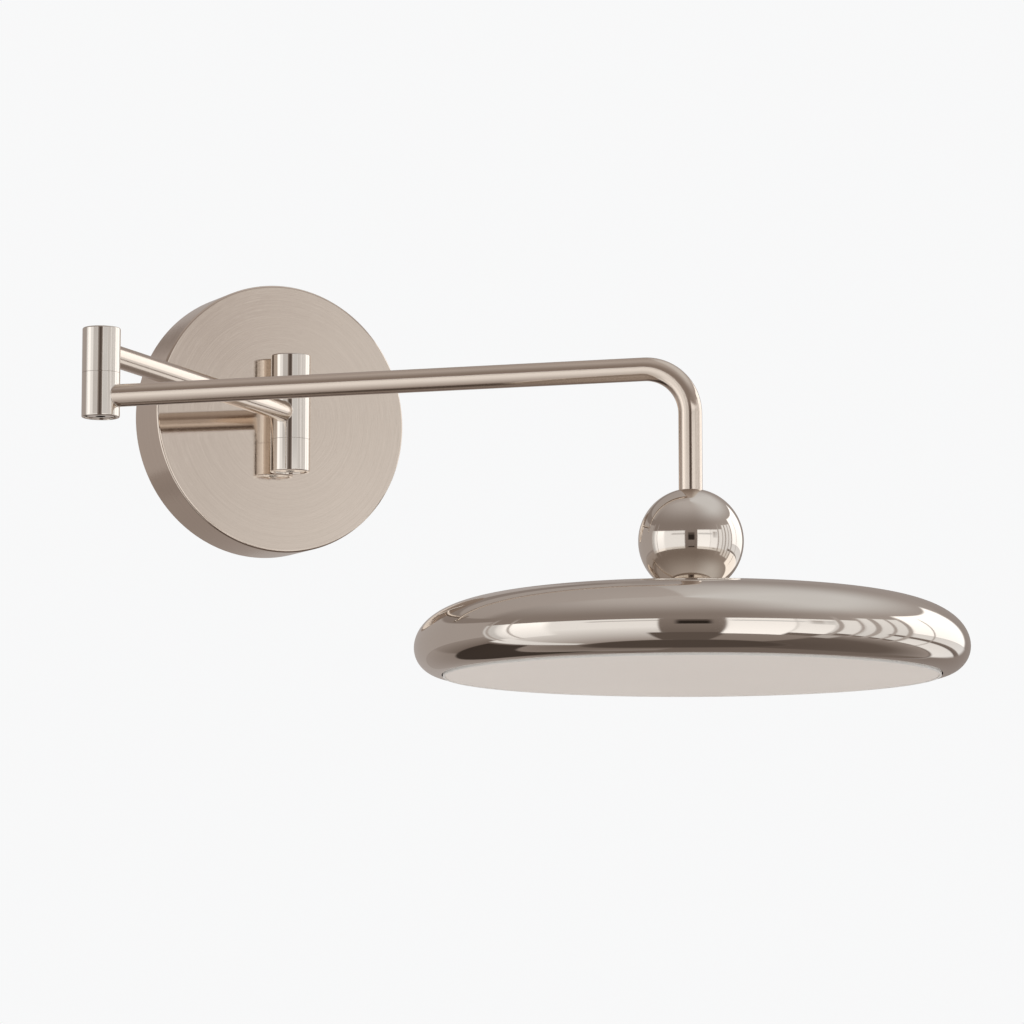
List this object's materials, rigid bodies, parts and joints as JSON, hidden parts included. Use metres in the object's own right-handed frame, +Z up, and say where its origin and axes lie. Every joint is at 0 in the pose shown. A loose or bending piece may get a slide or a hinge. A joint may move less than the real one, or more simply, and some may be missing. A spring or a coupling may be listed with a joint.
{
  "type": "swing arm wall light",
  "caption": "Hard-wired wall light with a round canopy, a jointed swing arm and a flat disc shade hung below a ball.",
  "frame": {"origin": "centre of the canopy's back, on the wall", "axes": "+Y into the wall, +Z up, +X to the right of someone who faces the wall; the room is on -Y"},
  "size_m": [0.2983, 0.4485, 0.2048],
  "materials": {
    "polished_nickel": "polished nickel plate",
    "brushed_nickel": "satin brushed nickel plate",
    "zinc_steel": "zinc plated sheet steel",
    "spindle_steel": "turned steel",
    "washer_nylon": "natural nylon",
    "driver_plastic": "white moulded housing",
    "terminal_plastic": "dark grey moulded housing",
    "brass_screws": "plain brass",
    "wire_jacket": "pale flexible jacket",
    "heat_sink_aluminium": "bare turned aluminium",
    "board_white": "white solder mask",
    "led_phosphor": "phosphor resin",
    "reflector_white": "matt white sheet",
    "opal_diffuser": "opal acrylic, satin",
    "pale_bezel": "satin white moulding"
  },
  "bodies": {
    "wall_mount": {"wall_bracket": "zinc_steel", "bracket_ears": "zinc_steel", "led_driver": "driver_plastic", "driver_screws": "zinc_steel", "terminal_block": "terminal_plastic", "terminal_screws": "brass_screws", "earth_screw": "brass_screws", "driver_lead": "wire_jacket", "canopy_cover": "brushed_nickel", "canopy_grub_screws": "brushed_nickel", "canopy_stiffener": "zinc_steel", "barrel_screws": "zinc_steel", "wall_barrel_top": "polished_nickel", "wall_barrel_bottom": "polished_nickel", "wall_spindle": "spindle_steel", "wall_end_plug": "polished_nickel", "wall_washers": "washer_nylon", "lamp_wire": "wire_jacket"},
    "short_arm": {"wall_sleeve": "polished_nickel", "short_arm_tube": "brushed_nickel", "short_arm_wire": "wire_jacket", "elbow_barrel_upper": "polished_nickel", "elbow_spindle": "spindle_steel", "elbow_cap_screw": "polished_nickel", "elbow_washers": "washer_nylon"},
    "long_arm": {"elbow_barrel_lower": "polished_nickel", "long_arm_tube": "brushed_nickel", "long_arm_wire": "wire_jacket", "drop_nipple": "spindle_steel", "drop_spacer": "spindle_steel", "swivel_nut": "spindle_steel"},
    "lamp_head": {"ball_shell": "polished_nickel", "neck_ring": "polished_nickel", "shade_shell": "polished_nickel", "shade_boss": "zinc_steel", "friction_washer": "washer_nylon", "shade_studs": "zinc_steel", "heat_sink": "heat_sink_aluminium", "heat_sink_screws": "zinc_steel", "led_board": "board_white", "led_chips": "led_phosphor", "side_reflector": "reflector_white", "diffuser": "opal_diffuser", "diffuser_ring": "pale_bezel"}
  },
  "joints": [
    {"name": "wall_pivot", "type": "hinge", "parent": "wall_mount", "child": "short_arm", "pos_m": [0, -0.03555, 0.001], "axis": [0, 0, 1], "range_deg": [-35, 134]},
    {"name": "elbow_pivot", "type": "hinge", "parent": "short_arm", "child": "long_arm", "pos_m": [-0.14253, -0.15814, -0.0082], "axis": [0, 0, 1], "range_deg": [-239, 50]},
    {"name": "head_swivel", "type": "hinge", "parent": "long_arm", "child": "lamp_head", "pos_m": [0.03778, -0.33846, -0.0881], "axis": [0, 0, 1], "range_deg": [-170, 170]}
  ]
}
